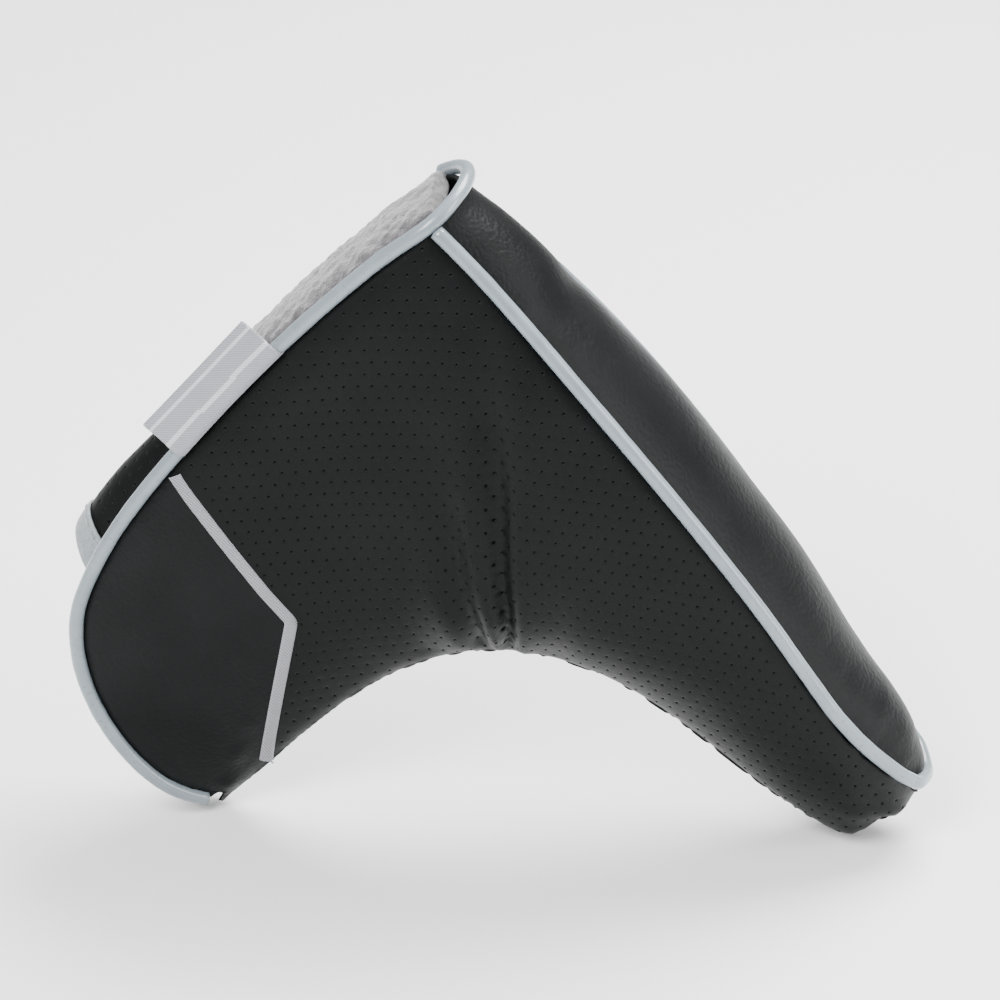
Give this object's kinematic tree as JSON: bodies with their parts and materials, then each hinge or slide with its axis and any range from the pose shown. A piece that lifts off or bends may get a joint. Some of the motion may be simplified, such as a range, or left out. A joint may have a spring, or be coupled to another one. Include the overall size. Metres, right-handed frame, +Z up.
{
  "type": "putter head cover",
  "caption": "Padded fleece-lined cover for a blade putter head, with a blade pocket, a wrap-over neck closed by two flaps and piped edges.",
  "frame": {"origin": "bottom centre of the whole cover as it stands on its two leg tips", "axes": "+X towards the toe of the blade pocket, +Z up, front face towards -Y"},
  "size_m": [0.1778, 0.0446, 0.1453],
  "materials": {
    "perforated_leather": "satin, pinholed",
    "grained_leather": "satin, fine pebble grain",
    "piping_vinyl": "semi-gloss",
    "foam": "open-cell foam",
    "fleece": "curly pile",
    "cord": "twisted cotton",
    "embroidery": "satin stitch",
    "thread": "thread",
    "binding_tape": "matte tape",
    "label_ribbon": "woven twill",
    "magnet_plating": "nickel plated"
  },
  "bodies": {
    "pocket": {"front_panel": "perforated_leather", "front_padding": "foam", "front_lining": "fleece", "back_panel": "perforated_leather", "back_padding": "foam", "back_lining": "fleece", "sole_gusset": "grained_leather", "sole_padding": "foam", "sole_lining": "fleece", "sole_piping": "piping_vinyl", "sole_piping_cord": "cord", "heel_piping": "piping_vinyl", "heel_piping_cord": "cord", "neck_stripe": "embroidery"},
    "front_flap": {"front_flap_panel": "perforated_leather", "flap_patch": "grained_leather", "flap_stripe": "embroidery", "flap_padding": "foam", "flap_lining": "fleece", "flap_magnets": "magnet_plating", "flap_piping": "piping_vinyl", "flap_piping_cord": "cord"},
    "label": {"woven_label": "label_ribbon"},
    "back_flap": {"back_flap_panel": "perforated_leather", "back_flap_padding": "foam", "back_flap_lining": "fleece", "back_flap_magnets": "magnet_plating", "back_flap_binding": "binding_tape", "binding_stitches": "thread"}
  },
  "joints": [
    {"name": "front_flap_fold", "type": "hinge", "parent": "pocket", "child": "front_flap", "pos_m": [-0.05838, -0.0126, 0.0004], "axis": [0.3042, -0.0138, 0.9525], "range_deg": [0, 100], "stiffness_Nm_per_rad": 0.06, "springref_deg": -5.73},
    {"name": "back_flap_fold", "type": "hinge", "parent": "pocket", "child": "back_flap", "pos_m": [-0.05838, 0.0126, 0.0004], "axis": [-0.3042, -0.0138, -0.9525], "range_deg": [0, 55], "stiffness_Nm_per_rad": 0.06, "springref_deg": -5.73},
    {"name": "label_lift", "type": "hinge", "parent": "front_flap", "child": "label", "pos_m": [-0.06248, -0.01452, 0.08755], "axis": [0.649, -0.0109, 0.7607], "range_deg": [0, 75], "stiffness_Nm_per_rad": 0.0002, "springref_deg": -5.73}
  ]
}
